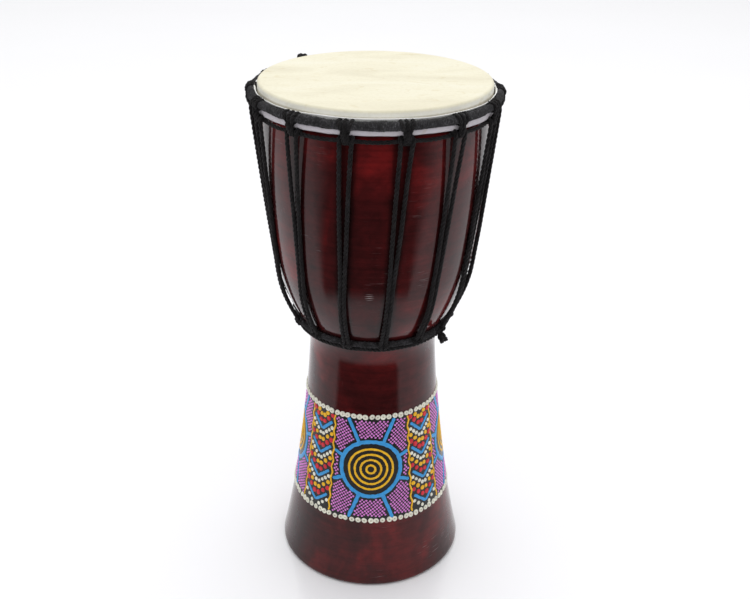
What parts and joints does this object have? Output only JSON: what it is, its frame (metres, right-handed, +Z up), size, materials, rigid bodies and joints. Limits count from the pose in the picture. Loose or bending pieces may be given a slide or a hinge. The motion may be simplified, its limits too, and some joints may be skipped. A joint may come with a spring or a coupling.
{
  "type": "djembe",
  "caption": "Small rope-tuned goblet drum: hollow turned wooden shell, goatskin head held by a bound crown ring with hitches, and rope lacing down to a base ring.",
  "frame": {"origin": "middle of the foot's resting face", "axes": "+Z up along the drum's axis to the head, -Y towards the player, +X to the player's right"},
  "size_m": [0.1872, 0.1852, 0.4],
  "materials": {
    "lacquered_wood": "high-gloss dark red lacquer over turned hardwood, with a dotted painted band round the stem",
    "goatskin": "shaved pale rawhide, semi-matt",
    "ring_steel": "plain steel rod, hidden inside its binding or fold of skin",
    "ring_binding": "black cord wound close round the ring",
    "lacing_rope": "black two-strand twisted rope, slightly fuzzy"
  },
  "bodies": {
    "root": {"shell": "lacquered_wood", "drumhead": "goatskin", "flesh_ring": "ring_steel", "crown_ring": "ring_steel", "crown_ring_wrap": "ring_binding", "crown_link_rope": "lacing_rope", "base_ring": "ring_steel", "base_ring_wrap": "ring_binding", "base_rope": "lacing_rope", "crown_hitch_01": "lacing_rope", "base_hitch_01": "lacing_rope", "lacing_run_01": "lacing_rope", "crown_hitch_02": "lacing_rope", "base_hitch_02": "lacing_rope", "lacing_run_02": "lacing_rope", "crown_hitch_03": "lacing_rope", "base_hitch_03": "lacing_rope", "lacing_run_03": "lacing_rope", "crown_hitch_04": "lacing_rope", "base_hitch_04": "lacing_rope", "lacing_run_04": "lacing_rope", "crown_hitch_05": "lacing_rope", "base_hitch_05": "lacing_rope", "lacing_run_05": "lacing_rope", "crown_hitch_06": "lacing_rope", "base_hitch_06": "lacing_rope", "lacing_run_06": "lacing_rope", "crown_hitch_07": "lacing_rope", "base_hitch_07": "lacing_rope", "lacing_run_07": "lacing_rope", "crown_hitch_08": "lacing_rope", "base_hitch_08": "lacing_rope", "lacing_run_08": "lacing_rope", "crown_hitch_09": "lacing_rope", "base_hitch_09": "lacing_rope", "lacing_run_09": "lacing_rope", "crown_hitch_10": "lacing_rope", "base_hitch_10": "lacing_rope", "lacing_run_10": "lacing_rope", "crown_hitch_11": "lacing_rope", "base_hitch_11": "lacing_rope", "lacing_run_11": "lacing_rope", "crown_hitch_12": "lacing_rope", "base_hitch_12": "lacing_rope", "lacing_run_12": "lacing_rope", "crown_hitch_13": "lacing_rope", "base_hitch_13": "lacing_rope", "lacing_run_13": "lacing_rope", "crown_hitch_14": "lacing_rope", "base_hitch_14": "lacing_rope", "lacing_run_14": "lacing_rope", "rope_tail": "lacing_rope", "tail_knot": "lacing_rope"}
  },
  "joints": []
}
